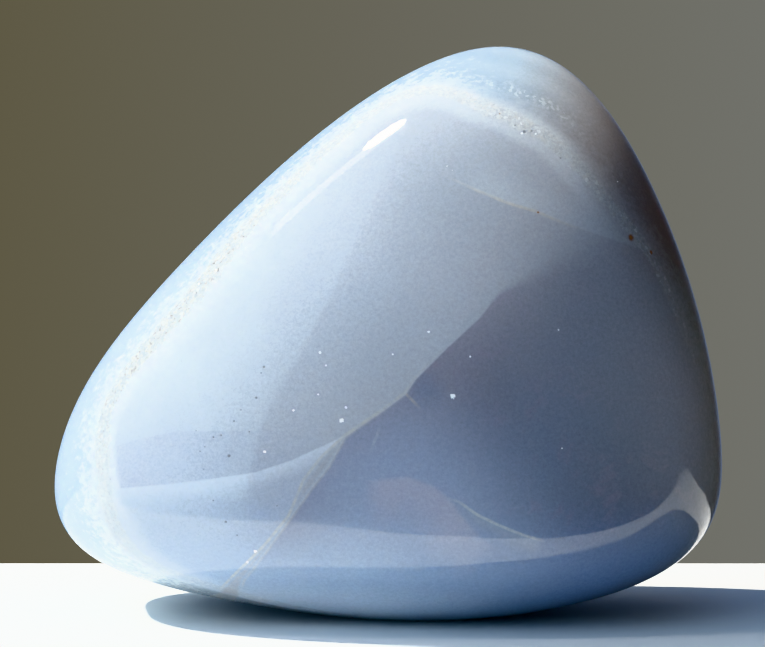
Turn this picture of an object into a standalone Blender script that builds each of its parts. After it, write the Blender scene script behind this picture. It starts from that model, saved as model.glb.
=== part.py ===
"""A tumbled chalcedony: one rounded three-cornered stone that stands on its long narrow edge.

The stone is +Z up, with its broad front towards -Y and its longer corner towards -X.
Its origin is at the middle of its box in plan, at the level that it stands on.
"""
import math

import bmesh
import bpy
from mathutils import Vector, noise

MM = 0.001

# Each worn flat of the stone: the angle round the outline that it faces, seen from the front, from
# +X towards +Z; how far it turns from there to the front; and its distance from the stone's heart.
# The angles are in degrees and the distances in millimetres.
OUTLINE_FLATS = {
    "right foot": (-76.0, -4.0, 11.8),
    "right tip": (-5.0, 7.0, 21.2),
    "right shoulder": (29.0, -6.0, 22.2),
    "crown": (103.0, 6.0, 25.2),
    "left slope": (137.5, -3.0, 18.3),
    "left tip": (192.0, 5.0, 23.2),
    "left foot": (260.0, 3.0, 11.5),
}
BROAD_FLATS = {
    "front": (90.0, 84.0, 11.5),
    "back": (90.0, -86.0, 11.0),
}
FLAT_CRISPNESS = 6.0  # how sharply one flat turns into the next: 2 is a ball, 20 is cut with a saw
RIM_CRISPNESS = 2.6  # the same for the turn from the outline into the broad flats
STANDING_WEAR = 0.25  # depth of the small true flat worn under the stone, in millimetres
SWELL_WIDTH = 15.0  # size of the slow swells that tumbling leaves, in millimetres
SWELL_HEIGHT = 0.15  # height of those swells, in millimetres
CELLS_A_SIDE = 24  # rows of faces along each side of the cube that becomes the stone

STONE_COLOUR = (0.36, 0.47, 0.62)  # grey-blue with a little lavender, linear
STONE_ROUGHNESS = 0.1
STONE_IOR = 1.54


def clear_scene():
    for thing in list(bpy.data.objects):
        bpy.data.objects.remove(thing, do_unlink=True)


def facing(angle, to_front):
    """The direction that a worn flat faces."""
    turn = math.radians(angle)
    lean = math.radians(to_front)
    return Vector((math.cos(turn) * math.cos(lean), -math.sin(lean), math.sin(turn) * math.cos(lean)))


def soft_greatest(values, crispness):
    """The greatest of the values, with the change from one to the next made round."""
    total = sum(max(0.0, value) ** crispness for value in values)
    return total ** (1.0 / crispness)


def nearness(direction, flats):
    """One over the distance from the heart to the flats that a ray in this direction meets."""
    each = [direction.dot(facing(angle, lean)) / reach for angle, lean, reach in flats.values()]
    return soft_greatest(each, FLAT_CRISPNESS)


def surface_point(direction):
    """Where a ray from the heart leaves the stone, in millimetres."""
    both = [nearness(direction, OUTLINE_FLATS), nearness(direction, BROAD_FLATS)]
    point = direction / soft_greatest(both, RIM_CRISPNESS)
    swell = SWELL_HEIGHT * noise.noise(point / SWELL_WIDTH)
    return point + swell * direction


def round_cube():
    """A cube's faces in even rows, as seen from its middle."""
    bm = bmesh.new()
    bmesh.ops.create_cube(bm, size=2.0)
    bmesh.ops.subdivide_edges(bm, edges=bm.edges, cuts=CELLS_A_SIDE - 1, use_grid_fill=True)
    for vert in bm.verts:
        even = [math.tan(along * math.pi / 4) for along in vert.co]
        vert.co = Vector(even).normalized()
    return bm


def wear_to_shape(bm):
    """Moves the round cube's surface out to the stone's, with the worn flat that it stands on."""
    for vert in bm.verts:
        vert.co = surface_point(vert.co)
    standing = min(vert.co.z for vert in bm.verts) + STANDING_WEAR
    for vert in bm.verts:
        vert.co.z = max(vert.co.z, standing)


def stand_on_origin(bm):
    """Puts the middle of the stone's box over the origin and its standing flat at zero height."""
    low = [min(vert.co[axis] for vert in bm.verts) for axis in range(3)]
    high = [max(vert.co[axis] for vert in bm.verts) for axis in range(3)]
    base = Vector(((low[0] + high[0]) / 2, (low[1] + high[1]) / 2, low[2]))
    for vert in bm.verts:
        vert.co = (vert.co - base) * MM


def polished_stone():
    material = bpy.data.materials.new("polished_chalcedony")
    material.use_nodes = True
    shader = material.node_tree.nodes["Principled BSDF"]
    shader.inputs["Base Color"].default_value = (*STONE_COLOUR, 1.0)
    shader.inputs["Roughness"].default_value = STONE_ROUGHNESS
    shader.inputs["Metallic"].default_value = 0.0
    shader.inputs["IOR"].default_value = STONE_IOR
    return material


def make_stone(collection):
    bm = round_cube()
    wear_to_shape(bm)
    stand_on_origin(bm)
    mesh = bpy.data.meshes.new("chalcedony")
    bm.to_mesh(mesh)
    bm.free()
    mesh.shade_smooth()
    mesh.materials.append(polished_stone())
    stone = bpy.data.objects.new("chalcedony", mesh)
    collection.objects.link(stone)
    return stone


def main():
    clear_scene()
    collection = bpy.data.collections.new("tumbled_chalcedony")
    bpy.context.scene.collection.children.link(collection)
    stone = make_stone(collection)
    size = ", ".join(f"{length / MM:.1f}" for length in stone.dimensions)
    print(f"{stone.name}: {len(stone.data.polygons)} faces, {size} mm")


main()
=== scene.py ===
# %% [markdown]
# # A tumbled chalcedony, finished
#
# The stone is a microcrystalline quartz that was broken, rolled in a drum with finer and finer
# grit for some weeks, and polished. The frame holds its plain solid. This lesson gives it the skin
# of the real stone: a fine mesh in the same place, the layers and healed cracks that run through
# it, the pits that tumbling opened, and a polish that the light sinks into.

# %% Load the frame
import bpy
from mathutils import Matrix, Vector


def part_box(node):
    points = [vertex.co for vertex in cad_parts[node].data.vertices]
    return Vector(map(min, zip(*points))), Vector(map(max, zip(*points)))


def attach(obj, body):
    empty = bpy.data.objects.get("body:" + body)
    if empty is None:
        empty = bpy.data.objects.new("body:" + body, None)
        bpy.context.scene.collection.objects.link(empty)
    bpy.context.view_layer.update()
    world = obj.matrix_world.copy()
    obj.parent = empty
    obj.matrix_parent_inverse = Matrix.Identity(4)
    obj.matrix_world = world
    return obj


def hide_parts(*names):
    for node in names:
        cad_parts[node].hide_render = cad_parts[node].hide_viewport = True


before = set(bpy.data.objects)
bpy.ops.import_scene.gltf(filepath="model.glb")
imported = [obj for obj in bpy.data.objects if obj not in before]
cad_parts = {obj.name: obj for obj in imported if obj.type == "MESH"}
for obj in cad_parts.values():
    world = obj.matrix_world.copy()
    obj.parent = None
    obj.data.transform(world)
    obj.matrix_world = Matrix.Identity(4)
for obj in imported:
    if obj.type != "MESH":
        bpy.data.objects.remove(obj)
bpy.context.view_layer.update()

# %% [markdown]
# A stone this small is measured in millimetres, while Blender counts in metres, so one number turns
# the one into the other.

# %% Units and the modules that the lesson needs
import math
import random

import bmesh
import bpy
import numpy as np
from mathutils import Matrix, Vector, kdtree, noise

MM = 0.001
scene = bpy.context.scene


# %% [markdown]
# Colours are picked as a screen shows them, in sRGB hex, because that is how a picture is read.
# The renderer adds light in linear values, so one function turns the one into the other.

# %% Colour from hex
def linear(hex_colour):
    """An sRGB hex colour as the linear red, green, blue and alpha that a shader takes."""
    channels = [int(hex_colour[i:i + 2], 16) / 255 for i in (1, 3, 5)]
    return tuple(c / 12.92 if c <= 0.04045 else ((c + 0.055) / 1.055) ** 2.4 for c in channels) + (1.0,)


print("mid grey:", [round(value, 3) for value in linear("#808080")])

# %% [markdown]
# The camera stands low in front of the stone, at reading distance, and looks a few degrees down.
# From so near, a long lens keeps the outline as the eye sees it. The lens comes from the width
# that the picture shows at the stone.

# %% Camera
VIEW_DISTANCE = 300 * MM
VIEW_DOWN = math.radians(6)
VIEW_WIDTH = 48.42 * MM  # what the picture's width covers at the stone
SENSOR_WIDTH = 36.0  # the default sensor, in the units that lens lengths have
AIM = Vector((-0.36, 0.0, 18.25)) * MM

camera = bpy.data.objects.new("camera", bpy.data.cameras.new("camera"))
scene.collection.objects.link(camera)
camera.location = AIM + VIEW_DISTANCE * Vector((0, -math.cos(VIEW_DOWN), math.sin(VIEW_DOWN)))
camera.rotation_euler = (AIM - camera.location).to_track_quat("-Z", "Y").to_euler()
camera.data.lens = SENSOR_WIDTH * VIEW_DISTANCE / VIEW_WIDTH
scene.camera = camera
print(f"lens {camera.data.lens:.0f} mm")


# %% [markdown]
# A node material is a chain of small steps. One function adds any of them. What is given in order
# goes into the node's inputs in order, names with a capital go into the input of that name, and
# the rest are settings of the node itself.

# %% Adding a node
def add(tree, kind, *wires, **settings):
    """Adds a node of a kind, with its settings, and wires or sets its inputs."""
    made = tree.nodes.new("ShaderNode" + kind)
    for name, value in settings.items():
        if name[0].islower():
            setattr(made, name, value)
    open_inputs = [socket for socket in made.inputs if socket.enabled]
    wanted = list(zip(open_inputs, wires))
    for name, value in settings.items():
        if not name[0].islower():
            label = name.replace("_", " ")
            wanted.append((next(socket for socket in open_inputs if socket.name == label), value))
    for socket, value in wanted:
        if isinstance(value, bpy.types.Node):
            value = next(out for out in value.outputs if out.enabled)
        if isinstance(value, bpy.types.NodeSocket):
            tree.links.new(value, socket)
        elif value is not None:
            socket.default_value = value
    return made


def new_material(name):
    """A material with an empty node tree."""
    material = bpy.data.materials.new(name)
    material.use_nodes = True
    material.node_tree.nodes.clear()
    return material


# %% [markdown]
# The stone stands on a plain pale slab, as on a narrow shelf. Painted wood has a fine even tooth
# from the roller, so the slab is nearly white, matt, and very slightly rough. It is no wider than a
# shelf, because a polished stone shows all that is around it: the pale slab lies in the lowest part
# of the stone, and above that line the polish shows the quiet room.

# %% The slab
SLAB_FRONT = -27 * MM
SLAB_BACK = 19 * MM
SLAB_HALF_LENGTH = 260 * MM
SLAB_THICKNESS = 12 * MM
SLAB_EDGE = 0.6 * MM  # how far the slab's edges are rounded
PAINT_TOOTH = 0.5  # roller texture in millimetres


def make_slab():
    bm = bmesh.new()
    bmesh.ops.create_cube(bm, size=1.0)
    for vert in bm.verts:
        vert.co.x *= 2 * SLAB_HALF_LENGTH
        vert.co.y = SLAB_FRONT + (vert.co.y + 0.5) * (SLAB_BACK - SLAB_FRONT)
        vert.co.z = (vert.co.z - 0.5) * SLAB_THICKNESS
    bmesh.ops.bevel(bm, geom=bm.edges, offset=SLAB_EDGE, segments=4, profile=0.5, affect="EDGES")
    mesh = bpy.data.meshes.new("slab")
    bm.to_mesh(mesh)
    bm.free()
    mesh.shade_smooth()
    mesh.set_sharp_from_angle(angle=math.radians(40))
    slab = bpy.data.objects.new("slab", mesh)
    scene.collection.objects.link(slab)
    return slab


def rolled_white_paint():
    """Rolled paint: matt white, with a tooth too fine to see but enough to soften its shine."""
    material = new_material("rolled_white_paint")
    tree = material.node_tree
    place = add(tree, "TexCoord").outputs["Object"]
    tooth = add(tree, "TexNoise", Vector=place, Scale=1 / (PAINT_TOOTH * MM), Detail=2.0)
    dent = add(tree, "Bump", Height=tooth.outputs["Fac"], Strength=0.15, Distance=0.02 * MM)
    paint = add(tree, "BsdfPrincipled", Base_Color=linear("#DEDDDA"), Roughness=0.6, Normal=dent)
    add(tree, "OutputMaterial", Surface=paint.outputs["BSDF"])
    return material


slab = make_slab()
slab.data.materials.append(rolled_white_paint())
print("slab:", [round(length / MM, 1) for length in slab.dimensions], "mm")

# %% [markdown]
# The key lamp is high on the left, so that its light enters the left flank, glows through the
# milky layers and dies away to the right. It lights the stone alone. A second lamp, lower and
# further back, lights the slab alone and lays the shadow to the right and a little to the front,
# as a low sun would. A wide cool panel stands on the left like a window: the polish shows it as a
# pale veil with a straight edge, and a long thin panel over it draws the soft streak on the left
# ridge. The room is felt as cool daylight from the left and as a dim grey on the right, which
# leaves the stone's right rim dark. Behind the stone is a plain warm grey. The picture is
# developed with a transform that keeps mid tones and rolls the brightest ones off gently.

# %% Light
scene.view_settings.view_transform = "Khronos PBR Neutral"
STONE_HEART = Vector((1.3, 0.0, 14.0))  # the point that the stone was worn down around, in mm
KEY_FROM = Vector((-0.474, 0.04, 0.88))
KEY_DISTANCE = 500 * MM
KEY_SIZE = 60 * MM
KEY_WATTS = 8.0
LOW_FROM = Vector((-0.75, 0.21, 0.66))
LOW_SIZE = 14 * MM
LOW_WATTS = 10.5
STRIP_CENTRE = Vector((-415, -10, 690)) * MM
STRIP_SIZE = (420 * MM, 70 * MM)
STRIP_WATTS = 1.2
WINDOW_CENTRE = Vector((-420, -506, 397)) * MM
WINDOW_SIZE = (800 * MM, 1440 * MM)
WINDOW_TILT = math.radians(13.6)
WINDOW_WATTS = 6.0
SUNLIGHT = "#FFFCF4"
SKYLIGHT = "#CFEFFF"


def hang_lamp(name, place, size, watts, colour, shape="RECTANGLE"):
    """A soft lamp at a place, turned to look at the stone."""
    lamp = bpy.data.lights.new(name, "AREA")
    lamp.shape = shape
    lamp.size, lamp.size_y = size
    lamp.energy = watts
    lamp.color = linear(colour)[:3]
    holder = bpy.data.objects.new(name, lamp)
    scene.collection.objects.link(holder)
    holder.location = place
    holder.rotation_euler = (STONE_HEART * MM - place).to_track_quat("-Z", "Y").to_euler()
    holder.visible_camera = False
    return holder


key_place = STONE_HEART * MM + KEY_FROM.normalized() * KEY_DISTANCE
key = hang_lamp("key", key_place, (KEY_SIZE, KEY_SIZE), KEY_WATTS, SUNLIGHT, "DISK")
low_place = STONE_HEART * MM + LOW_FROM.normalized() * KEY_DISTANCE
low_key = hang_lamp("low key", low_place, (LOW_SIZE, LOW_SIZE), LOW_WATTS, SUNLIGHT, "DISK")
slab_alone = bpy.data.collections.new("slab_alone")
slab_alone.objects.link(slab)
low_key.light_linking.receiver_collection = slab_alone
window = hang_lamp("window", WINDOW_CENTRE, WINDOW_SIZE, WINDOW_WATTS, SKYLIGHT)
upright = Matrix.Rotation(math.radians(-90), 3, "Y")
window.rotation_euler = (Matrix.Rotation(WINDOW_TILT, 3, "X") @ upright).to_euler()
strip = hang_lamp("strip", STRIP_CENTRE, STRIP_SIZE, STRIP_WATTS, "#FFFFFF")
strip.rotation_euler = upright.to_euler()

DAYLIGHT_SIDE = "#8FB2E6"
DIM_SIDE = "#4C4846"
WALL_LEFT = "#6B6654"
WALL_RIGHT = "#7E7F7A"
world = bpy.data.worlds.new("quiet_room")
world.use_nodes = True
world.node_tree.nodes.clear()
sky = world.node_tree
aside = add(sky, "SeparateXYZ", add(sky, "TexCoord").outputs["Generated"]).outputs["X"]
to_right = add(sky, "MapRange", aside, -0.5, 0.6, 0.0, 1.0, interpolation_type="SMOOTHSTEP")
daylight = add(sky, "Mix", to_right, linear(DAYLIGHT_SIDE), linear(DIM_SIDE), data_type="RGBA")
across = add(sky, "MapRange", aside, -0.1, 0.1)
backdrop = add(sky, "Mix", across, linear(WALL_LEFT), linear(WALL_RIGHT), data_type="RGBA")
eye = add(sky, "LightPath").outputs["Is Camera Ray"]
room = add(sky, "MixShader", eye, add(sky, "Background", daylight), add(sky, "Background", backdrop))
add(sky, "OutputWorld", Surface=room)
scene.world = world

# %% [markdown]
# The drum wears a broken lump down to a few broad flats with round turns between them. The frame's
# solid is made that way, and this mesh follows the same flats with far smaller faces, so that
# the polish reflects the room without a ripple. Each flat has the angle round the outline that it
# faces, how far it turns to the front, and its distance from the heart of the stone.

# %% The worn form
OUTLINE_FLATS = {
    "right foot": (-76.0, -4.0, 11.8),
    "right tip": (-5.0, 7.0, 21.2),
    "right shoulder": (29.0, -6.0, 22.2),
    "crown": (103.0, 6.0, 25.2),
    "left slope": (137.5, -3.0, 18.3),
    "left tip": (192.0, 5.0, 23.2),
    "left foot": (260.0, 3.0, 11.5),
}
BROAD_FLATS = {
    "front": (90.0, 84.0, 11.5),
    "back": (90.0, -86.0, 11.0),
}
FLAT_CRISPNESS = 6.0  # how tight the turns between the flats of one ring are
RIM_CRISPNESS = 2.6  # the same for the turns from the outline to the front and the back
STANDING_WEAR = 0.25  # how deep the flat that it stands on is worn, in millimetres
SWELL_WIDTH = 15.0
SWELL_HEIGHT = 0.15


def facing(angle, to_front):
    """The direction that a worn flat faces."""
    turn, lean = math.radians(angle), math.radians(to_front)
    return np.array((math.cos(turn) * math.cos(lean), -math.sin(lean), math.sin(turn) * math.cos(lean)))


def nearness(rays, flats):
    """One over the distance from the heart to the flats, for rays given as rows."""
    each = [np.maximum(0.0, rays @ facing(angle, lean) / reach) for angle, lean, reach in flats.values()]
    return sum(part ** FLAT_CRISPNESS for part in each) ** (1 / FLAT_CRISPNESS)


def worn_points(rays):
    """Where rays from the heart leave the stone, in millimetres from the heart."""
    both = [nearness(rays, flats) for flats in (OUTLINE_FLATS, BROAD_FLATS)]
    total = sum(part ** RIM_CRISPNESS for part in both)
    points = rays / (total ** (1 / RIM_CRISPNESS))[:, None]
    swell = np.array([noise.noise(Vector(point) / SWELL_WIDTH) for point in points])
    return points + SWELL_HEIGHT * swell[:, None] * rays


# %% [markdown]
# The mesh starts as a cube whose faces are cut into even rows and blown up to a ball. Its corner
# points are the rays of the formula above. A ball made this way has no poles, so no faces crowd
# together where the stone's crown is.

# %% A ball of even faces
CELLS_A_SIDE = 84


def even_ball(cells):
    bm = bmesh.new()
    bmesh.ops.create_cube(bm, size=2.0)
    bmesh.ops.subdivide_edges(bm, edges=bm.edges, cuts=cells - 1, use_grid_fill=True)
    for vert in bm.verts:
        vert.co = Vector([math.tan(along * math.pi / 4) for along in vert.co]).normalized()
    return bm


def rays_of(bm):
    rays = np.array([vert.co for vert in bm.verts])
    return rays / np.linalg.norm(rays, axis=1)[:, None]


ball = even_ball(CELLS_A_SIDE)
heart_points = worn_points(rays_of(ball))
standing = heart_points[:, 2].min() + STANDING_WEAR
print(f"ball: {len(ball.verts)} points, stone {np.ptp(heart_points, axis=0).round(1)} mm")

# %% [markdown]
# The formula measures from the heart, and the frame from the middle of the stone's box at the
# level that it stands on. The shift between them comes from the frame's own box, so the new skin
# lies on the solid.

# %% Into the frame's place
low, high = (np.array(corner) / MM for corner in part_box("chalcedony"))
shift = (low + high) / 2 - (heart_points.max(axis=0) + heart_points.min(axis=0)) / 2
shift[2] = low[2] - standing


def in_frame(points):
    """Points from the heart, moved into the frame, with the worn flat below."""
    placed = points + shift
    placed[:, 2] = np.maximum(placed[:, 2], low[2])
    return placed


print("heart of the stone in the frame:", shift.round(2), "mm")

# %% [markdown]
# Chalcedony grows as layers on the wall of a hollow. One of them here is sandy quartz, and it cuts
# the stone's skin as a pale line that runs round the rim. The layer is a slightly dished sheet. Its
# depth behind the stone's middle plane is given every fifteen degrees round the outline, and a
# smooth curve joins those depths. Near the heart they all draw towards their mean, so that the back
# shows no star. How far a point lies behind that sheet says which layer it belongs to.

# %% The sheet of sandy quartz
SHEET_STEP = 15  # degrees between the depths below, which start at the stone's right
SHEET_DEPTHS = (-3.9, -4.8, -5.2, -5.95, -5.6, -4.7, -2.2, -3.1, -4.4, -5.2, -6.2, -6.3,
                -5.75, -7.0, -7.25, -7.6, -7.3, -7.0, -6.6, -6.0, -5.4, -5.0, -4.7, -4.5)
SHEET_REACH = 18.0  # the distance from the heart, in millimetres, where those depths are true
SHEET_DISH = 0.25  # how much deeper the sheet lies for each millimetre nearer to the heart
SHEET_CALM = 12.0  # nearer to the heart than this, in millimetres, the depths draw together
SAND_STEP = 30  # degrees between the strengths below, which start at the stone's right too
SAND_STRENGTHS = (0.05, 0.25, 0.4, 0.62, 0.8, 0.95, 0.9, 0.3, 0.3, 0.4, 0.3, 0.1)
SHEET_THIN = 0.46  # half its thickness on most of the rim, in millimetres
SHEET_SWELLS = 0.46  # how much more that is where it is broadest
BROAD_AT = 140  # degrees round the outline


def smooth_between(values, place):
    """A smooth closed curve through evenly spaced values, read at places counted in steps."""
    step = np.floor(place).astype(int)
    t = place - step
    before, here, there, after = (np.take(values, step + k, mode="wrap") for k in (-1, 0, 1, 2))
    bend = (3 * (here - there) + after - before) * t ** 3
    ease = (2 * before - 5 * here + 4 * there - after) * t ** 2
    return here + 0.5 * (bend + ease + (there - before) * t)


def turn_of(points):
    """The angle round the outline, in degrees from the right, from -180 to 180."""
    return np.degrees(np.arctan2(points[:, 2] - STONE_HEART.z, points[:, 0] - STONE_HEART.x))


def behind_sheet(points):
    """How many millimetres each point lies behind the sandy sheet."""
    reach = np.hypot(points[:, 0] - STONE_HEART.x, points[:, 2] - STONE_HEART.z)
    depth = smooth_between(np.array(SHEET_DEPTHS), (turn_of(points) % 360) / SHEET_STEP)
    apart = np.clip(reach / SHEET_CALM, 0, 1) ** 2
    depth = np.mean(SHEET_DEPTHS) + apart * (depth - np.mean(SHEET_DEPTHS))
    return points[:, 1] - depth - SHEET_DISH * (SHEET_REACH - reach)


def sheet_thickness(points):
    """Half the sheet's thickness: broad on the upper left flank, thin everywhere else."""
    to_broad = 0.5 + 0.5 * np.cos(np.radians(turn_of(points) - BROAD_AT))
    return SHEET_THIN + SHEET_SWELLS * to_broad ** 6


def sand_strength(points):
    """How much of the sheet is sand, from 0 to 1: most on the left flank and at the crown."""
    return smooth_between(np.array(SAND_STRENGTHS), (turn_of(points) % 360) / SAND_STEP)


around = behind_sheet(in_frame(heart_points))
print(f"the sheet parts the skin: {(around < 0).mean():.0%} in front, {(around > 0).mean():.0%} behind")

# %% [markdown]
# The stone cracked and healed more than once, and each healed crack shows as a line with a paler or
# a darker side. Each is drawn as the few points that it passes on the front, in millimetres to the
# right of the middle and above the base. The main crack is double, and "deep" is its other line.
# "Patch" and "haze" are only the edges of a tinted zone. A crack goes through the stone, so it comes
# out at the back too, where it has wandered to the right.

# %% Healed cracks
CRACKS = {
    "main": [(-10.6, 2.2), (-9.6, 3.5), (-7.5, 5.8), (-6.1, 7.6), (-5.2, 9.8), (-4.1, 11.2), (-2.7, 12.5),
             (-0.2, 14.2), (1.0, 15.1), (1.6, 16.0), (3.5, 17.9), (5.5, 19.7), (6.7, 21.2), (10.5, 22.9),
             (15.6, 24.0)],
    "deep": [(-9.2, 2.2), (-8.9, 3.2), (-6.8, 6.2), (-4.7, 9.2), (-3.6, 10.6), (-2.6, 12.4), (-0.1, 14.1),
             (1.1, 15.0), (1.7, 15.9), (3.6, 17.8), (5.6, 19.6), (6.8, 21.1), (10.5, 22.9), (15.6, 24.0)],
    "upper": [(3.4, 28.2), (5.4, 27.3), (7.4, 26.5), (9.1, 26.0), (10.7, 25.3), (12.4, 24.7), (15.1, 23.7)],
    "lower": [(3.1, 8.9), (4.3, 8.5), (5.4, 7.7), (6.7, 7.05), (8.2, 6.4), (9.8, 5.9)],
    "whisker": [(-0.5, 13.2), (-0.7, 12.5), (-1.2, 11.4)],
    "patch": [(-0.8, 9.9), (1.2, 10.1), (2.9, 9.5), (3.9, 8.6), (4.4, 7.9), (5.0, 7.2), (5.7, 6.4),
              (6.8, 5.6)],
    "left": [(-20.6, 8.1), (-18.2, 8.6), (-14.2, 9.2), (-11.6, 9.6), (-8.2, 10.2), (-5.9, 11.0),
             (-2.7, 12.5)],
    "haze": [(-17.0, 11.4), (-15.3, 12.0), (-13.0, 12.6), (-9.6, 12.7)],
    "branch": [(1.0, 15.1), (1.5, 14.6), (2.0, 14.1)],
}
CRACK_LEAN = 0.4  # how far a crack has wandered to the right for each millimetre behind the middle


def beside_crack(points, line):
    """For each point, its distance to the right of a line in the front view, and its share along it."""
    line = np.array(line)
    flat = np.stack((points[:, 0] - CRACK_LEAN * np.maximum(points[:, 1], 0), points[:, 2]), axis=1)
    start, run = line[:-1], np.diff(line, axis=0)
    length = np.linalg.norm(run, axis=1)
    away = flat[:, None, :] - start[None]
    share = np.clip((away * run).sum(axis=2) / length ** 2, 0, 1)
    gap = away - share[:, :, None] * run
    distance = np.linalg.norm(gap, axis=2)
    nearest = distance.argmin(axis=1)
    rows = np.arange(len(points))
    cross = run[nearest, 1] * away[rows, nearest, 0] - run[nearest, 0] * away[rows, nearest, 1]
    before = np.concatenate(([0], np.cumsum(length)[:-1]))
    travelled = before[nearest] + share[rows, nearest] * length[nearest]
    return np.sign(cross) * distance[rows, nearest], travelled / length.sum()


for name, line in CRACKS.items():
    print(f"crack {name}: {np.linalg.norm(np.diff(line, axis=0), axis=1).sum():.1f} mm")

# %% [markdown]
# Small things need small faces. Pinholes are bubbles that the wear cut open, and the sandy sheet
# has little cavities where grains fell out. Flecks are quartz specks painted white, partly their own
# white and partly their painted glint, and a few specks are stained by iron. All are given by their
# place on the front and their radius, and the mesh is cut finer around them and along the sheet.

# %% Where the mesh needs finer faces
PINHOLES = [(-9.8, 11.2, 0.10), (-7.6, 16.6, 0.08), (-8.1, 14.7, 0.08), (-9.5, 13.3, 0.06),
            (-10.0, 7.1, 0.09), (-11.3, 11.7, 0.05), (-10.8, 12.3, 0.06), (-10.3, 12.4, 0.06),
            (-11.6, 11.4, 0.05), (-11.9, 12.6, 0.05), (-8.5, 12.7, 0.05), (-12.8, 16.8, 0.05),
            (-7.8, 16.2, 0.05), (-9.1, 14.0, 0.05), (-11.3, 10.3, 0.05), (-9.3, 6.3, 0.06),
            (-10.8, 8.4, 0.06), (-6.8, 8.2, 0.06)]
CAVITIES = [(8.5, 30.8, 0.12), (8.9, 30.9, 0.09), (7.9, 31.2, 0.07), (10.6, 29.2, 0.06)]
FLECKS = [(3.9, 14.9, 0.17), (-2.9, 13.4, 0.15), (2.5, 18.8, 0.08), (-2.6, 14.2, 0.09), (-5.8, 14.0, 0.08),
          (-7.6, 11.5, 0.10), (10.4, 18.8, 0.07), (5.0, 17.3, 0.07), (-8.2, 5.2, 0.11), (-8.7, 4.5, 0.10),
          (-4.2, 17.5, 0.08), (0.3, 17.4, 0.06), (-3.8, 16.7, 0.06), (-4.3, 15.0, 0.06), (10.6, 11.6, 0.05),
          (3.6, 28.8, 0.04), (3.9, 28.5, 0.03), (8.3, 30.6, 0.08), (14.2, 27.6, 0.06), (9.1, 30.6, 0.06)]
RUST = [(15.1, 24.2, 0.22), (16.3, 23.2, 0.14), (9.2, 26.0, 0.08), (6.9, 31.9, 0.05)]
SHEET_MARGIN = 0.5  # how far past the sheet the finer faces go, in millimetres
SPECK_MARGIN = 0.35  # the same around the middle of a speck


def front_points(places, points):
    """The skin's points that lie straight in front of places given to the right and up."""
    ahead = points[points[:, 1] < 0]
    seeker = kdtree.KDTree(len(ahead))
    for index, point in enumerate(ahead):
        seeker.insert((point[0], 0, point[2]), index)
    seeker.balance()
    return [Vector(ahead[seeker.find((place[0], 0, place[1]))[1]]) for place in places]


def refine(bm, wanted):
    """Cuts each face whose corners are all wanted into nine, still on the ball."""
    faces = [face for face in bm.faces if all(wanted[vert.index] for vert in face.verts)]
    edges = {edge for face in faces for edge in face.edges}
    bmesh.ops.subdivide_edges(bm, edges=list(edges), cuts=2, use_grid_fill=True)
    for vert in bm.verts:
        vert.co.normalize()
    bm.verts.index_update()
    return in_frame(worn_points(rays_of(bm)))


def near_specks(points, centres, reach):
    near = np.zeros(len(points), dtype=bool)
    for centre in centres:
        near |= np.linalg.norm(points - np.array(centre), axis=1) < reach
    return near


skin = in_frame(heart_points)
centres = front_points(PINHOLES + CAVITIES + FLECKS + RUST, skin)
along_sheet = np.abs(behind_sheet(skin)) < sheet_thickness(skin) + SHEET_MARGIN
ball.verts.index_update()
skin = refine(ball, along_sheet | near_specks(skin, centres, 3 * SPECK_MARGIN))
print(f"{len(skin)} points after the first cut")
centres = front_points(PINHOLES + CAVITIES + FLECKS + RUST, skin)
skin = refine(ball, near_specks(skin, centres, SPECK_MARGIN))
print(f"{len(skin)} points after the second cut")

# %% [markdown]
# The grains of the sandy sheet stand a hundredth of a millimetre proud, and each pinhole or cavity
# is sunk as a small bowl. Seeded random numbers scatter more cavities along the sheet, so that they
# fall in the same place each time.

# %% Grains, pinholes and cavities
GRAIN = 0.2  # size of the sandy grains in millimetres
GRAIN_HEIGHT = 0.01
PIT_COUNT = 90
PIT_RADII = (0.05, 0.13)
PIT_DEPTH = 0.08
UPPER_LEFT = 150  # degrees round the outline, where the light comes in
UPPER_RIGHT = 40
scatter = random.Random(7)


def speck_share(points, centres, radii):
    """How near each point is to a speck's middle: 1 there, 0 at its rim, less outside."""
    share = np.full(len(points), -3.0)
    for centre, radius in zip(centres, radii):
        share = np.maximum(share, 1 - np.linalg.norm(points - np.array(centre), axis=1) / radius)
    return share


sheet = behind_sheet(skin)
from_heart = skin - np.array(STONE_HEART)
to_light = from_heart @ facing(UPPER_LEFT, 0) / SHEET_REACH  # 1 at the upper left rim
to_shoulder = from_heart @ facing(UPPER_RIGHT, 0) / SHEET_REACH  # 1 at the upper right rim
sand = 1.3 - np.abs(sheet) / sheet_thickness(skin)  # above 0 in the sheet and a little past it
sandiness = sand_strength(skin)
outward = rays_of(ball)
grains = np.array([noise.noise(Vector(point) / GRAIN) for point in skin]) * (sand > 0)
placed_radii = [radius for _, _, radius in PINHOLES + CAVITIES]
sandiest = [index for index, share in enumerate(sand * (sandiness > 0.6)) if share > 0.6]
pit_centres = [skin[index] for index in scatter.sample(sandiest, PIT_COUNT)]
pit_radii = [scatter.uniform(*PIT_RADII) for _ in pit_centres]
hollow = speck_share(skin, centres[:len(placed_radii)] + pit_centres, placed_radii + pit_radii)
flecks_from = len(placed_radii)
rust_from = flecks_from + len(FLECKS)
fleck = speck_share(skin, centres[flecks_from:rust_from], [radius for _, _, radius in FLECKS])
rust = speck_share(skin, centres[rust_from:], [radius for _, _, radius in RUST])
bowl = np.clip(hollow, 0, 1) ** 0.5 * PIT_DEPTH
skin = skin + outward * (grains * np.clip(sand, 0, 1) * GRAIN_HEIGHT - bowl)[:, None]
print(f"{len(placed_radii)} placed hollows, {PIT_COUNT} scattered ones, {len(FLECKS)} flecks")

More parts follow.
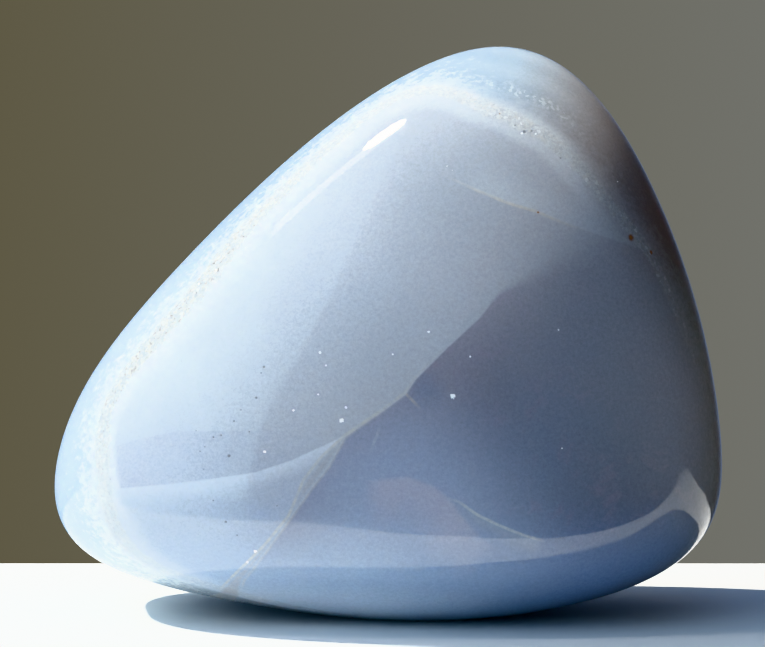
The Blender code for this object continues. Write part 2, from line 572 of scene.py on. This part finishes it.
# %% [markdown]
# The finished skin becomes a mesh. What was worked out for each point is stored on it, so that the
# material can read how far a point is from the sheet, from a crack or from a speck.

# %% The stone's mesh
def make_stone():
    for vert, point in zip(ball.verts, skin):
        vert.co = Vector(point) * MM
    bmesh.ops.triangulate(ball, faces=[face for face in ball.faces if len(face.verts) > 4])
    mesh = bpy.data.meshes.new("chalcedony_skin")
    ball.to_mesh(mesh)
    ball.free()
    mesh.shade_smooth()
    fields = {"sheet": sheet, "sand": sand, "sandiness": sandiness, "to_light": to_light,
              "to_shoulder": to_shoulder, "hollow": hollow, "fleck": fleck, "rust": rust}
    for name, line in CRACKS.items():
        fields[name + "_beside"], fields[name + "_along"] = beside_crack(skin, line)
    for name, values in fields.items():
        layer = mesh.attributes.new(name, "FLOAT", "POINT")
        layer.data.foreach_set("value", np.asarray(values, dtype=np.float32))
    stone = bpy.data.objects.new("chalcedony_skin", mesh)
    scene.collection.objects.link(stone)
    return stone


stone = make_stone()
stone_alone = bpy.data.collections.new("stone_alone")
stone_alone.objects.link(stone)
key.light_linking.receiver_collection = stone_alone
stone.data.calc_loop_triangles()
print(f"{stone.name}: {len(stone.data.loop_triangles)} triangles, {len(stone.data.attributes)} attributes")

# %% [markdown]
# Polished chalcedony is quartz fibres too fine to see. Light goes a few millimetres in, blue is
# thrown back soonest, and red goes deepest, which is why the lit side is milky blue and what comes
# through is warm. Its colour is built up from the inside out, one cell for each kind of stone, and
# every step lays its own colour over the steps before.

# %% A material to paint in
GENTLY = {"interpolation_type": "SMOOTHSTEP"}  # a change that starts and ends softly
COLOUR = {"data_type": "RGBA"}  # a mix of two colours
chalcedony = new_material("tumbled_chalcedony")
rock = chalcedony.node_tree
coordinates = add(rock, "TexCoord").outputs["Object"]
place = add(rock, "VectorMath", coordinates, operation="SCALE", Scale=1 / MM)  # in millimetres
parts = add(rock, "SeparateXYZ", place)
stored = [layer.name for layer in stone.data.attributes if layer.data_type == "FLOAT"]
field = {name: add(rock, "Attribute", attribute_name=name).outputs["Fac"] for name in stored}
print("fields:", sorted(field))

# %% [markdown]
# Left of the main crack the stone is milky, and right of it deep and clear, a little greyer near
# the crack. The boundary is as sharp as the crack for most of its length and fades out towards the
# right. Slow clouds a few millimetres wide keep both from looking poured. The milky body is also
# painted paler towards the lit upper left and greyer away from it, which is painted shade. The deep
# body has faint rosy veils, and it darkens to smoke at the right rim, partly its own smoke and partly
# painted shade. Slow clouds a few millimetres wide keep both from
# looking poured. The deep body has faint rosy veils, and it darkens to smoke at the right rim.

# %% Milky body and deep body
MILKY = "#CAD4D8"
MILKY_AWAY = "#A3A9B0"
MILKY_BY_CRACK = "#A9ABAF"
MILKY_LOW = "#A1A9B7"
DEEP = "#7C8392"
DEEP_BY_CRACK = "#87848C"
SMOKE_AND_SHADE_RIM = "#5A6272"
ROSY_VEIL = "#8F8390"
cloud = add(rock, "TexNoise", Vector=place, Scale=0.16, Detail=4.0, Roughness=0.55)
wander = add(rock, "Math", cloud, 0.5, operation="SUBTRACT")
# paler towards the lit upper left and greyer away from it, in slow clouds: painted shade
lit_side_and_clouds = add(rock, "Math", wander, 0.5, field["to_light"], operation="MULTIPLY_ADD")
lit_side_and_clouds = add(rock, "MapRange", lit_side_and_clouds, 0.44, 1.0, 0.0, 1.0, **GENTLY)
milky = add(rock, "Mix", lit_side_and_clouds, linear(MILKY_AWAY), linear(MILKY), **COLOUR)
to_crack = add(rock, "MapRange", field["main_beside"], -6.5, 0.0, 0.0, 0.85, **GENTLY)
lower = add(rock, "MapRange", parts.outputs["Z"], 14.0, 6.0, 0.0, 1.0, **GENTLY)
by_crack = add(rock, "Mix", lower, linear(MILKY_BY_CRACK), linear(MILKY_LOW), **COLOUR)
milky = add(rock, "Mix", to_crack, milky, by_crack, **COLOUR)
wide = add(rock, "Math", wander, 5.0, field["deep_beside"], operation="MULTIPLY_ADD")
from_crack = add(rock, "MapRange", wide, 1.0, 11.0, 0.0, 1.0, **GENTLY)
deep = add(rock, "Mix", from_crack, linear(DEEP_BY_CRACK), linear(DEEP), **COLOUR)
softness = add(rock, "MapRange", field["deep_along"], 0.68, 1.0, 0.14, 3.5, **GENTLY)
crossing = add(rock, "Math", field["deep_beside"], softness, operation="DIVIDE")
in_deep = add(rock, "MapRange", crossing, -0.5, 0.5, 0.0, 1.0, **GENTLY)
body = add(rock, "Mix", in_deep, milky, deep, **COLOUR)
# darker towards the right rim: partly the stone's own smoke, partly painted shade
smoke_and_shade_at_right = add(rock, "MapRange", parts.outputs["X"], 8.5, 15.5, 0.0, 0.7, **GENTLY)
below = add(rock, "MapRange", parts.outputs["Z"], 25.0, 20.0, 0.0, 1.0)
smoke_and_shade_at_right = add(rock, "Math", smoke_and_shade_at_right, below, operation="MULTIPLY")
body = add(rock, "Mix", smoke_and_shade_at_right, body, linear(SMOKE_AND_SHADE_RIM), **COLOUR)
veils = add(rock, "TexNoise", Vector=place, Scale=0.55, Detail=6.0, Roughness=0.75, Distortion=0.6)
rosy = add(rock, "MapRange", veils, 0.52, 0.68, 0.0, 0.35, **GENTLY)
rosy = add(rock, "Math", rosy, in_deep, operation="MULTIPLY")
body = add(rock, "Mix", rosy, body, linear(ROSY_VEIL), **COLOUR)
print("nodes:", len(rock.nodes))

# %% [markdown]
# The stone isn't one grey. Its upper right shoulder is a little warmer. Its foot is painted blue:
# painted light of the slab glowing through it, darker to the right as a painted reflection of the
# slab's shadow, and paler again where the stone meets the slab, which is painted light from the
# slab. Five patches are laid in: clear ones at the left end, a milky one beside the left line, a
# small dark one at the corner of the main crack, a darker one under the crown, which is painted
# shade, and a pale cloud in the deep body above the foot, which is painted light from the slab.

# %% Warm shoulder, pockets, painted shade and painted slab light
WARM_SHOULDER = "#AEABAC"
FOOT_SLAB_GLOW_LEFT = "#92A5BB"
FOOT_SLAB_GLOW_RIGHT = "#7485A3"
SLAB_LIGHT_AT_SOLE = "#C6D2DF"
milky_side = add(rock, "Math", 1.0, in_deep, operation="SUBTRACT")
# Two of these are painted light: the darker one under the crown is painted shade, the pale one above the
# foot is painted light from the slab.
POCKETS_AND_PAINTED_LIGHT = {  # the side that each pocket is on, its middle and reach in millimetres, its share and colour
    "under the crown": (milky_side, (3.5, -8.0, 31.5), 11.0, 0.6, "#808A93"),
    "at the left end": (milky_side, (-14.5, -9.0, 10.0), 7.5, 0.45, "#A6AFBA"),
    "by the left line": (milky_side, (-12.5, -9.5, 7.0), 6.0, 0.4, "#C3CFDA"),
    "above the foot": (in_deep, (1.0, -11.0, 7.0), 10.5, 0.8, "#9AA4B5"),
    "by the corner": (in_deep, (2.2, -11.2, 15.4), 1.8, 0.4, "#707B8D"),
}
shoulder = add(rock, "MapRange", field["to_shoulder"], 0.1, 0.8, 0.0, 0.68, **GENTLY)
body = add(rock, "Mix", shoulder, body, linear(WARM_SHOULDER), **COLOUR)
for side, centre, reach, share, colour in POCKETS_AND_PAINTED_LIGHT.values():
    away = add(rock, "VectorMath", place, centre, operation="DISTANCE")
    pocket_and_light = add(rock, "MapRange", away, reach, reach / 4, 0.0, share, **GENTLY)
    pocket_and_light = add(rock, "Math", pocket_and_light, side, operation="MULTIPLY")
    body = add(rock, "Mix", pocket_and_light, body, linear(colour), **COLOUR)
# The foot: painted light of the slab glowing through it, darker to the right as a painted reflection of the
# slab's shadow.
reflected_shadow_to_right = add(rock, "MapRange", parts.outputs["X"], -2.0, 12.0, 0.0, 1.0)
slab_glow_blue = add(rock, "Mix", reflected_shadow_to_right, linear(FOOT_SLAB_GLOW_LEFT), linear(FOOT_SLAB_GLOW_RIGHT), **COLOUR)
foot = add(rock, "MapRange", parts.outputs["Z"], 9.0, 3.5, 0.0, 0.9, **GENTLY)
body = add(rock, "Mix", foot, body, slab_glow_blue, **COLOUR)
# Paler at the very bottom: painted light from the slab.
slab_light_at_sole = add(rock, "MapRange", parts.outputs["Z"], 3.4, 1.0, 0.0, 0.9, **GENTLY)
slab_light_leftward = add(rock, "MapRange", parts.outputs["X"], 10.0, -4.0, 0.0, 1.0, **GENTLY)
slab_light_at_sole = add(rock, "Math", slab_light_at_sole, slab_light_leftward, operation="MULTIPLY")
body = add(rock, "Mix", slab_light_at_sole, body, linear(SLAB_LIGHT_AT_SOLE), **COLOUR)
print("nodes:", len(rock.nodes))

# %% [markdown]
# The lesser cracks part zones that differ by a few hundredths in tone: a darker one on the left
# between two cracks, a paler one above the upper vein, a faintly pink one at the bottom and a grey
# wedge beside it. Right beside a crack the stone is palest.

# %% Zones between the lesser cracks
DARK_ZONE = "#9AA0AB"
PALEST_BY_CRACK = "#E4ECF1"
PALE_ZONE = "#CDD4D8"
PINK_ZONE = "#B0AAB2"
GREY_WEDGE = "#9EA4AA"
above_left = add(rock, "Math", field["left_beside"], -1.0, operation="MULTIPLY")
between = add(rock, "Math", above_left, field["haze_beside"], operation="MINIMUM")
zone = add(rock, "MapRange", between, -0.04, 0.08, 0.0, 1.0)
fade = add(rock, "MapRange", parts.outputs["X"], -5.0, -11.0, 0.0, 0.6)
zone = add(rock, "Math", zone, fade, operation="MULTIPLY")
body = add(rock, "Mix", zone, body, linear(DARK_ZONE), **COLOUR)
under_left = add(rock, "MapRange", field["left_beside"], -0.04, 0.06, 0.0, 1.0)
by_left = add(rock, "MapRange", field["left_beside"], 1.2, 0.0, 0.0, 0.26, **GENTLY)
palest_by_crack = add(rock, "Math", under_left, by_left, operation="MULTIPLY")
not_deep = add(rock, "MapRange", field["main_beside"], -0.1, 0.1, 1.0, 0.0)
palest_by_crack = add(rock, "Math", palest_by_crack, not_deep, operation="MULTIPLY")
body = add(rock, "Mix", palest_by_crack, body, linear(PALEST_BY_CRACK), **COLOUR)
above_vein = add(rock, "MapRange", field["upper_beside"], 0.06, -0.06, 0.0, 1.0)
by_vein = add(rock, "MapRange", field["upper_beside"], -2.5, 0.0, 0.0, 0.2, **GENTLY)
paler = add(rock, "Math", above_vein, by_vein, operation="MULTIPLY")
vein_start = add(rock, "MapRange", field["upper_along"], 0.02, 0.3, 0.0, 1.0, **GENTLY)
paler = add(rock, "Math", paler, vein_start, operation="MULTIPLY")
body = add(rock, "Mix", paler, body, linear(PALE_ZONE), **COLOUR)
in_patch = add(rock, "MapRange", field["patch_beside"], -0.1, 0.3, 0.0, 1.0, **GENTLY)
patch_fade = add(rock, "MapRange", field["patch_beside"], 4.0, 0.3, 0.0, 0.55, **GENTLY)
patch_end = add(rock, "MapRange", field["patch_along"], 0.7, 0.98, 1.0, 0.0)
patch_start = add(rock, "MapRange", parts.outputs["X"], -1.8, -0.2, 0.0, 1.0, **GENTLY)
pink = add(rock, "Math", in_patch, patch_fade, operation="MULTIPLY")
pink = add(rock, "Math", pink, patch_end, operation="MULTIPLY")
pink = add(rock, "Math", pink, patch_start, operation="MULTIPLY")
body = add(rock, "Mix", pink, body, linear(PINK_ZONE), **COLOUR)
under_vein = add(rock, "MapRange", field["lower_beside"], -0.02, 0.05, 0.0, 1.0)
wedge = add(rock, "MapRange", field["lower_beside"], 1.3, 0.0, 0.0, 0.5, **GENTLY)
wedge = add(rock, "Math", wedge, under_vein, operation="MULTIPLY")
wedge_start = add(rock, "MapRange", field["lower_along"], 0.05, 0.35, 0.0, 1.0, **GENTLY)
wedge = add(rock, "Math", wedge, wedge_start, operation="MULTIPLY")
wedge_end = add(rock, "MapRange", field["lower_along"], 0.85, 0.99, 1.0, 0.0, **GENTLY)
wedge = add(rock, "Math", wedge, wedge_end, operation="MULTIPLY")
body = add(rock, "Mix", wedge, body, linear(GREY_WEDGE), **COLOUR)
print("nodes:", len(rock.nodes))

# %% [markdown]
# In front of the sandy sheet the layers are milk white, most on the left flank, where they were
# thickest. They are thinner lower down, and faint at the crown. The clouds draw out their edge.

# %% The halo
HALO = "#EEF5F8"
wavy = add(rock, "Math", wander, 1.2, field["sheet"], operation="MULTIPLY_ADD")
halo_start = add(rock, "MapRange", field["to_light"], 0.2, 1.0, -1.3, -3.0)
narrower = add(rock, "MapRange", parts.outputs["Z"], 11.0, 18.0, 0.45, 1.0, **GENTLY)
by_foot = add(rock, "MapRange", parts.outputs["Z"], 9.5, 6.5, 0.0, 0.85, **GENTLY)
narrower = add(rock, "Math", narrower, by_foot, operation="MAXIMUM")
halo_start = add(rock, "Math", halo_start, narrower, operation="MULTIPLY")
halo_start = add(rock, "Math", halo_start, -1.0, operation="MINIMUM")
halo_share = add(rock, "MapRange", field["to_light"], 0.25, 0.85, 0.12, 0.85)
halo_end = add(rock, "MapRange", field["to_light"], -0.45, 0.0, 0.0, 1.0, **GENTLY)
halo_share = add(rock, "Math", halo_share, halo_end, operation="MULTIPLY")
weak_foot = add(rock, "MapRange", parts.outputs["Z"], 7.0, 10.0, 0.55, 1.0, **GENTLY)
halo_share = add(rock, "Math", halo_share, weak_foot, operation="MULTIPLY")
halo = add(rock, "MapRange", wavy, halo_start, -0.7, 0.0, 1.0, **GENTLY)
halo = add(rock, "Math", halo, halo_share, operation="MULTIPLY")
body = add(rock, "Mix", halo, body, linear(HALO), **COLOUR)
print("nodes:", len(rock.nodes))

# %% [markdown]
# Behind the sheet the chalcedony is paler and grew in thin layers. It is painted lighter on the lit
# flank than at the crown, which is painted shade. Away from the light, towards the right rim, it turns
# from lavender grey to a dark smoke grey, partly the stone's own tone and partly painted shade. The
# layers go on to the back of the stone, where they show as soft bands.

# %% The layers behind the sheet
LAYER = 2.6  # millimetres from one milky layer to the next
FLANK_LOW = "#B9CDD7"
FLANK_HIGH = "#9DB4C3"
CROWN_LAYER_SHADED = "#808F9B"
MILKY_LAYER = "#B6C3CC"
GREY_LAYER = "#968D88"
SMOKE_LOW = "#82827F"
SMOKE_HIGH = "#776960"
behind_from = add(rock, "MapRange", field["to_light"], 0.0, -0.45, 0.3, -3.5)
behind_to = add(rock, "MapRange", field["to_light"], 0.0, -0.45, 1.0, 2.5)
behind = add(rock, "MapRange", field["sheet"], behind_from, behind_to, 0.0, 1.0, **GENTLY)
rings = add(rock, "Math", wavy, 2 * math.pi / LAYER, operation="MULTIPLY")
rings = add(rock, "Math", rings, operation="SINE")
rings = add(rock, "MapRange", rings, -1.0, 1.0, 0.0, 0.16)
# lighter on the lit flank than at the crown: painted shade
lit_flank_share = add(rock, "MapRange", field["to_light"], 0.3, 0.75, 0.0, 1.0, **GENTLY)
higher = add(rock, "MapRange", parts.outputs["Z"], 19.0, 26.0, 0.0, 1.0, **GENTLY)
flank = add(rock, "Mix", higher, linear(FLANK_LOW), linear(FLANK_HIGH), **COLOUR)
layer = add(rock, "Mix", lit_flank_share, linear(CROWN_LAYER_SHADED), flank, **COLOUR)
layer = add(rock, "Mix", rings, layer, linear(MILKY_LAYER), **COLOUR)
# greyer, then smoke grey, away from the light: partly the stone's own tone, partly painted shade
greyer = add(rock, "MapRange", field["to_light"], 0.35, -0.2, 0.0, 0.9, **GENTLY)
layer = add(rock, "Mix", greyer, layer, linear(GREY_LAYER), **COLOUR)
smoky_and_shaded = add(rock, "MapRange", field["to_light"], -0.15, -0.65, 0.0, 1.0, **GENTLY)
smoke = add(rock, "Mix", higher, linear(SMOKE_LOW), linear(SMOKE_HIGH), **COLOUR)
layer = add(rock, "Mix", smoky_and_shaded, layer, smoke, **COLOUR)
body = add(rock, "Mix", behind, body, layer, **COLOUR)
print("nodes:", len(rock.nodes))

# %% [markdown]
# A second, broken layer of milk lies just behind the sand. On the left flank and at the crown it
# shows as white dabs along the band.

# %% White dabs
DAB = "#EAF2F4"
ALONG_FLANK = (0.0, math.radians(-58), 0.0)
brushed = add(rock, "Mapping", Vector=place, Rotation=ALONG_FLANK, Scale=(0.6, 1.0, 1.1))
dabs = add(rock, "TexNoise", Vector=brushed, Scale=2.4, Detail=6.0, Roughness=0.72)
from_sheet = add(rock, "MapRange", field["sheet"], 0.4, 3.2, 0.13, -0.1)
dabs = add(rock, "Math", dabs, from_sheet, operation="ADD")
dab = add(rock, "MapRange", dabs, 0.46, 0.62, 0.0, 0.9, **GENTLY)
past_sand = add(rock, "MapRange", field["sheet"], 0.2, 0.6, 0.0, 1.0)
lit = add(rock, "MapRange", field["to_light"], 0.28, 0.6, 0.05, 1.0)
dab = add(rock, "Math", dab, past_sand, operation="MULTIPLY")
dab = add(rock, "Math", dab, lit, operation="MULTIPLY")
body = add(rock, "Mix", dab, body, linear(DAB), **COLOUR)
print("nodes:", len(rock.nodes))

# %% [markdown]
# The sheet itself is packed with quartz grains of a fifth of a millimetre, of off-white and grey
# that run into each other. A few grains are dark, and a few clear ones are painted near white: a
# painted glint. The grains are painted darker on the lit flank and lighter towards the crown, to
# offset the light. Its edges are ragged, and it is weak along the foot and thins out on the right. At
# the crown a second, sparse row of bright grains runs behind it as an arc.

# %% The sandy sheet
GREY_SAND = "#8D9294"
PALE_SAND = "#BBBEBB"
WARM_SAND = "#B5AC9A"
PEPPER_AT_CROWN = "#84837F"
PEPPER_ON_FLANK = "#746E66"
CLEAR_GRAIN = "#EFF1EF"
ARC_GRAIN = "#E3EAEB"
edge = add(rock, "TexNoise", Vector=place, Scale=1.6, Detail=5.0, Roughness=0.8)
ragged = add(rock, "Math", edge, 0.5, operation="SUBTRACT")
sandy = add(rock, "Math", ragged, 1.8, field["sand"], operation="MULTIPLY_ADD")
sandy = add(rock, "MapRange", sandy, 0.25, 0.7, 0.0, 1.0, **GENTLY)
sandy = add(rock, "Math", sandy, field["sandiness"], operation="MULTIPLY")
jitter = add(rock, "TexNoise", Vector=place, Scale=6.0, Detail=2.0)
each_way = (GRAIN, GRAIN, GRAIN)
spread = add(rock, "VectorMath", jitter.outputs["Color"], each_way, place, operation="MULTIPLY_ADD")
cells = add(rock, "TexVoronoi", Vector=spread, Scale=1 / GRAIN, Randomness=1.0)
tone = add(rock, "SeparateColor", cells.outputs["Color"])
fine = add(rock, "TexNoise", Vector=place, Scale=5.0, Detail=4.0, Roughness=0.8)
pale_grain = add(rock, "MapRange", fine, 0.38, 0.62, 0.0, 1.0)
bold = add(rock, "MapRange", field["to_light"], 0.2, 0.6, 0.6, 0.75)
dark_grain = add(rock, "MapRange", tone.outputs["Red"], 0.78, 0.9, 0.0, bold)
clear_grain = add(rock, "MapRange", tone.outputs["Green"], 0.9, 0.97, 0.0, bold)
warm_grain = add(rock, "MapRange", tone.outputs["Blue"], 0.4, 1.0, 0.0, 0.5)
grain = add(rock, "Mix", pale_grain, linear(GREY_SAND), linear(PALE_SAND), **COLOUR)
grain = add(rock, "Mix", warm_grain, grain, linear(WARM_SAND), **COLOUR)
# dark grains painted darker on the lit flank than at the crown, to offset the light
pepper = add(rock, "Mix", lit_flank_share, linear(PEPPER_AT_CROWN), linear(PEPPER_ON_FLANK), **COLOUR)
grain = add(rock, "Mix", dark_grain, grain, pepper, **COLOUR)
# a few clear grains painted near white: a painted glint
grain = add(rock, "Mix", clear_grain, grain, linear(CLEAR_GRAIN), **COLOUR)
# all grains painted darker on the lit flank and lighter towards the crown, to offset the light
offset_for_light = add(rock, "MapRange", field["to_light"], 0.1, 0.7, 1.08, 0.86)
grain = add(rock, "VectorMath", grain, operation="SCALE", Scale=offset_for_light)
body = add(rock, "Mix", sandy, body, grain, **COLOUR)
arc = add(rock, "Math", wavy, -1.8, operation="ADD")
arc = add(rock, "Math", arc, operation="ABSOLUTE")
arc = add(rock, "MapRange", arc, 0.6, 0.1, 0.0, 1.0, **GENTLY)
bright = add(rock, "MapRange", tone.outputs["Green"], 0.7, 0.9, 0.0, 0.24)
arc = add(rock, "Math", arc, bright, operation="MULTIPLY")
at_crown = add(rock, "MapRange", field["to_light"], 0.6, 0.45, 0.0, 1.0)
arc = add(rock, "Math", arc, at_crown, operation="MULTIPLY")
not_right = add(rock, "MapRange", field["to_light"], -0.1, 0.15, 0.0, 1.0)
arc = add(rock, "Math", arc, not_right, operation="MULTIPLY")
body = add(rock, "Mix", arc, body, linear(ARC_GRAIN), **COLOUR)
print("nodes:", len(rock.nodes))

# %% [markdown]
# A healed crack holds a little tan clay. In its lower half the main crack is two breaks side by
# side, with a sliver of cloudy stone between them. The lines grow and die away along their length.

# %% Lines of the healed cracks
SLIVER = "#A09F9D"
broken = add(rock, "TexNoise", Vector=place, Scale=2.5, Detail=4.0, Roughness=0.7)
broken = add(rock, "MapRange", broken, 0.3, 0.6, 0.25, 1.0)
before_deep = add(rock, "Math", field["deep_beside"], -1.0, operation="MULTIPLY")
sliver = add(rock, "Math", field["main_beside"], before_deep, operation="MINIMUM")
sliver = add(rock, "MapRange", sliver, 0.0, 0.35, 0.0, 1.0, **GENTLY)
patchy = add(rock, "MapRange", broken, 0.25, 1.0, 0.3, 0.65)
sliver = add(rock, "Math", sliver, patchy, operation="MULTIPLY")
body = add(rock, "Mix", sliver, body, linear(SLIVER), **COLOUR)
# A line's row gives the shares of its length by which it is full, begins to fade and ends, then its
# strength and its colour.
VEINS = {
    "main": (0.02, 0.4, 0.62, 0.7, "#B9B5AA"),
    "deep": (0.02, 0.3, 0.55, 0.4, "#B3AFA6"),
    "upper": (0.3, 0.5, 0.8, 0.68, "#BBB3A5"),
    "lower": (0.3, 0.85, 0.98, 0.7, "#BDBDB8"),
    "branch": (0.1, 0.5, 0.98, 0.6, "#B7AE9D"),
    "whisker": (0.3, 0.6, 0.98, 0.3, "#B7B9BC"),
}
for name, (full_from, full_to, gone_by, strength, colour) in VEINS.items():
    gap = add(rock, "Math", field[name + "_beside"], operation="ABSOLUTE")
    line = add(rock, "MapRange", gap, 0.03, 0.14, strength, 0.0, **GENTLY)
    growing = add(rock, "MapRange", field[name + "_along"], 0.005, full_from, 0.0, 1.0)
    line = add(rock, "Math", line, growing, operation="MULTIPLY")
    lasting = add(rock, "MapRange", field[name + "_along"], full_to, gone_by, 1.0, 0.0)
    line = add(rock, "Math", line, lasting, operation="MULTIPLY")
    line = add(rock, "Math", line, broken, operation="MULTIPLY")
    body = add(rock, "Mix", line, body, linear(colour), **COLOUR)
print("nodes:", len(rock.nodes))

# %% [markdown]
# Last come the specks: pinholes and cavities are dark inside, flecks of quartz are painted white,
# partly their own white and partly their painted glint, and iron has stained a few specks brown. A
# fine mottle of the fibres themselves goes over everything.

# %% Specks and mottle
SPECKS = {  # the field's values where a speck begins and is full, its strength and its colour
    "hollow": (-0.1, 0.5, 0.52, "#554E4E"),
    # flecks painted white: partly the quartz's own white, partly its painted glint
    "fleck": (0.0, 0.3, 0.95, "#FFFFFF"),
    "rust": (-0.2, 0.6, 0.9, "#8A5A2C"),
}
rough_edge = add(rock, "TexNoise", Vector=place, Scale=9.0, Detail=2.0)
rough_edge = add(rock, "Math", rough_edge, 0.5, operation="SUBTRACT")
for name, (rim, full, share, colour) in SPECKS.items():
    speck = add(rock, "Math", rough_edge, 1.2, field[name], operation="MULTIPLY_ADD")
    speck = add(rock, "MapRange", speck, rim, full, 0.0, share)
    body = add(rock, "Mix", speck, body, linear(colour), **COLOUR)
fibres = add(rock, "TexNoise", Vector=place, Scale=4.5, Detail=4.0, Roughness=0.9)
mottle = add(rock, "MapRange", fibres, 0.3, 0.7, -1.0, 1.0)
strong = add(rock, "MapRange", field["to_light"], 0.2, 0.8, 0.12, 0.22)
mottle = add(rock, "Math", mottle, strong, 1.0, operation="MULTIPLY_ADD")
body = add(rock, "VectorMath", body, operation="SCALE", Scale=mottle)
print("nodes:", len(rock.nodes))

# %% [markdown]
# The surface is a wet-looking polish with quartz's index of refraction. Only the grains of the sandy
# sheet took it less well.

# %% Polish
QUARTZ_IOR = 1.54
POLISH_ROUGHNESS = 0.012
SCATTER_DEPTH = 6.0  # millimetres that red light travels between one fibre and the next
SCATTER_BY_COLOUR = (1.0, 0.8, 0.62)  # green and blue against red
rough = add(rock, "MapRange", sandy, 0.0, 1.0, POLISH_ROUGHNESS, 0.12)
tiny = add(rock, "TexNoise", Vector=place, Scale=2 / GRAIN, Detail=2.0)
lift = add(rock, "Math", tiny, sandy, operation="MULTIPLY")
dent = add(rock, "Bump", Height=lift, Strength=0.4, Distance=0.015 * MM)
shader = add(rock, "BsdfPrincipled", Base_Color=body, Roughness=rough, Normal=dent, IOR=QUARTZ_IOR,
             subsurface_method="RANDOM_WALK", Subsurface_Weight=1.0,
             Subsurface_Radius=SCATTER_BY_COLOUR, Subsurface_Scale=SCATTER_DEPTH * MM)
add(rock, "OutputMaterial", Surface=shader)
stone.data.materials.append(chalcedony)
print(f"{chalcedony.name}: {len(rock.nodes)} nodes")

# %% [markdown]
# The skin rides on the stone's one body and stands for the frame's solid, which stays underneath as
# what the stone weighs and rests on.

# %% Hand over
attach(stone, "root")
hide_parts("chalcedony")
